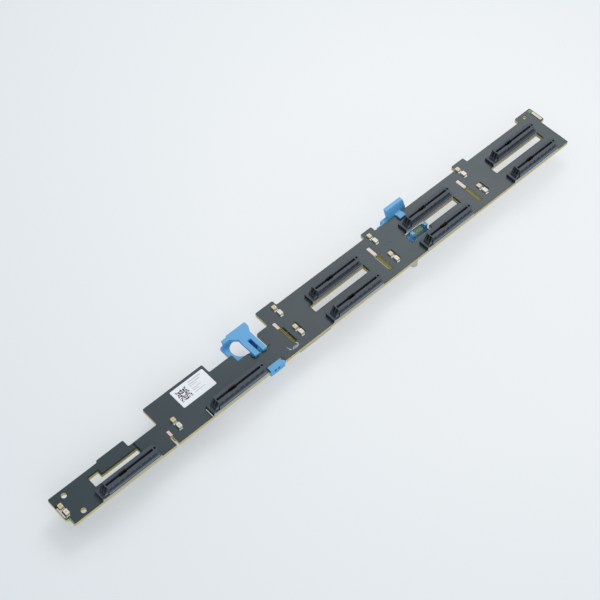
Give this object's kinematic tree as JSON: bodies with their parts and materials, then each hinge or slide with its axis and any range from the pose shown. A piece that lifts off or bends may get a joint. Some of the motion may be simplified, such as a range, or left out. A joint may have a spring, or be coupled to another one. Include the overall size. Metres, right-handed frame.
{
  "type": "drive backplane board",
  "caption": "Long narrow circuit board with upright drive sockets on its front, air windows, status lights, blue snap latches and rear cable headers",
  "frame": {"origin": "bottom centre of the part's box, on the surface that the rear parts lie on", "axes": "X along the board, from the end with the fixing holes to the end with the guide tab; Y towards the upper long edge with the thumb grips; Z out of the front, drive side"},
  "size_m": [0.412, 0.0398, 0.0204],
  "materials": {
    "solder_mask_black": "matte black ink over glass-epoxy laminate",
    "socket_nylon": "fine moulded texture",
    "contact_gold": "gold-flashed copper alloy",
    "light_package": "cream moulding with a clear lens",
    "label_paper": "white coated film",
    "latch_blue": "blue moulded plastic",
    "shell_steel": "plated sheet steel",
    "insert_black": "moulded",
    "header_black": "moulded",
    "pin_tin": "tin plated",
    "header_ivory": "moulded",
    "chip_epoxy": "fine moulded epoxy",
    "choke_ferrite": "pressed ferrite",
    "can_aluminium": "drawn can",
    "ceramic_tan": "fired ceramic",
    "resistor_black": "glazed ceramic"
  },
  "bodies": {
    "root": {"circuit_board": "solder_mask_black", "drive_socket_1": "socket_nylon", "drive_socket_2": "socket_nylon", "drive_socket_3": "socket_nylon", "drive_socket_4": "socket_nylon", "drive_socket_5": "socket_nylon", "drive_socket_6": "socket_nylon", "drive_socket_7": "socket_nylon", "drive_socket_8": "socket_nylon", "socket_contacts_1": "contact_gold", "socket_contacts_2": "contact_gold", "socket_contacts_3": "contact_gold", "socket_contacts_4": "contact_gold", "socket_contacts_5": "contact_gold", "socket_contacts_6": "contact_gold", "socket_contacts_7": "contact_gold", "socket_contacts_8": "contact_gold", "status_lights_1": "light_package", "status_lights_2": "light_package", "status_lights_3": "light_package", "status_lights_4": "light_package", "status_lights_5": "light_package", "status_lights_6": "light_package", "status_lights_7": "light_package", "status_lights_8": "light_package", "label_sticker": "label_paper", "left_latch": "latch_blue", "right_latch": "latch_blue", "cable_shell_1": "shell_steel", "cable_shell_2": "shell_steel", "cable_insert_1": "insert_black", "cable_insert_2": "insert_black", "cable_contacts_1": "contact_gold", "cable_contacts_2": "contact_gold", "power_header": "header_black", "power_pins": "pin_tin", "signal_header": "header_ivory", "signal_pins": "contact_gold", "controller_chip": "chip_epoxy", "controller_leads": "pin_tin", "logic_chips": "chip_epoxy", "logic_leads": "pin_tin", "regulator_chip": "chip_epoxy", "power_chokes": "choke_ferrite", "can_capacitors": "can_aluminium", "ceramic_capacitors": "ceramic_tan", "chip_resistors": "resistor_black"}
  },
  "joints": []
}
